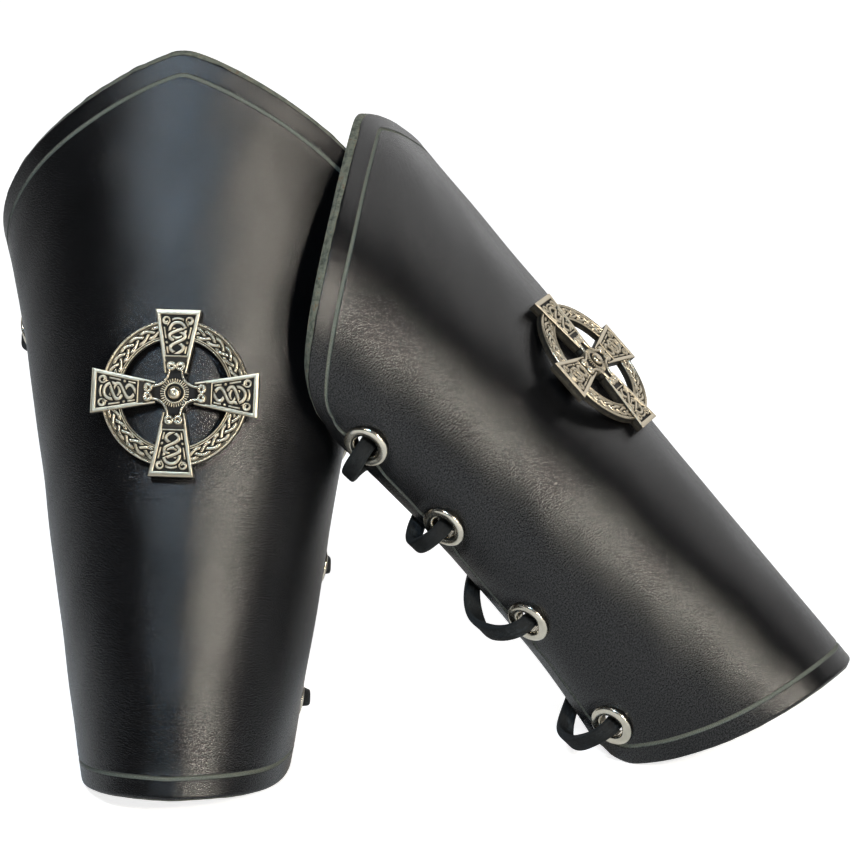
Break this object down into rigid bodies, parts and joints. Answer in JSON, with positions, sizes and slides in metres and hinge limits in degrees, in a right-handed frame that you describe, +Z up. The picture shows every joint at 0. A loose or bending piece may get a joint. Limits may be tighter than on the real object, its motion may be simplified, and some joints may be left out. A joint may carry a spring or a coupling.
{
  "type": "archery_arm_guard",
  "caption": "A pair of curved leather forearm guards for archery, each with a lace through eyelets at the back and a cast ring-cross medallion on the front that turns on its screw.",
  "frame": {"origin": "centre of the pair on the floor they stand on", "axes": "+X runs from the first guard to the second one leaning on it, +Z is up, +Y is away from the front"},
  "size_m": [0.28, 0.1694, 0.2311],
  "materials": {
    "black_leather": "smooth black grain, semi-gloss",
    "nickel_plate": "polished nickel plate",
    "cast_zinc": "antiqued casting with dark recesses"
  },
  "bodies": {
    "guards": {"leather_a": "black_leather", "leather_b": "black_leather", "eyelet_a1": "nickel_plate", "eyelet_a2": "nickel_plate", "eyelet_a3": "nickel_plate", "eyelet_a4": "nickel_plate", "eyelet_a5": "nickel_plate", "eyelet_a6": "nickel_plate", "eyelet_a7": "nickel_plate", "eyelet_a8": "nickel_plate", "eyelet_b1": "nickel_plate", "eyelet_b2": "nickel_plate", "eyelet_b3": "nickel_plate", "eyelet_b4": "nickel_plate", "eyelet_b5": "nickel_plate", "eyelet_b6": "nickel_plate", "eyelet_b7": "nickel_plate", "eyelet_b8": "nickel_plate", "lace_a": "black_leather", "lace_b": "black_leather"},
    "medallion_a": {"medallion_a": "cast_zinc", "screw_a": "nickel_plate"},
    "medallion_b": {"medallion_b": "cast_zinc", "screw_b": "nickel_plate"}
  },
  "joints": [
    {"name": "medallion_a_turn", "type": "hinge", "parent": "guards", "child": "medallion_a", "pos_m": [-0.07989, -0.03583, 0.12756], "axis": [-0.0678, -0.9238, 0.3769], "continuous": true},
    {"name": "medallion_b_turn", "type": "hinge", "parent": "guards", "child": "medallion_b", "pos_m": [0.05407, -0.00121, 0.12576], "axis": [0.6783, -0.2522, 0.6902], "continuous": true}
  ]
}
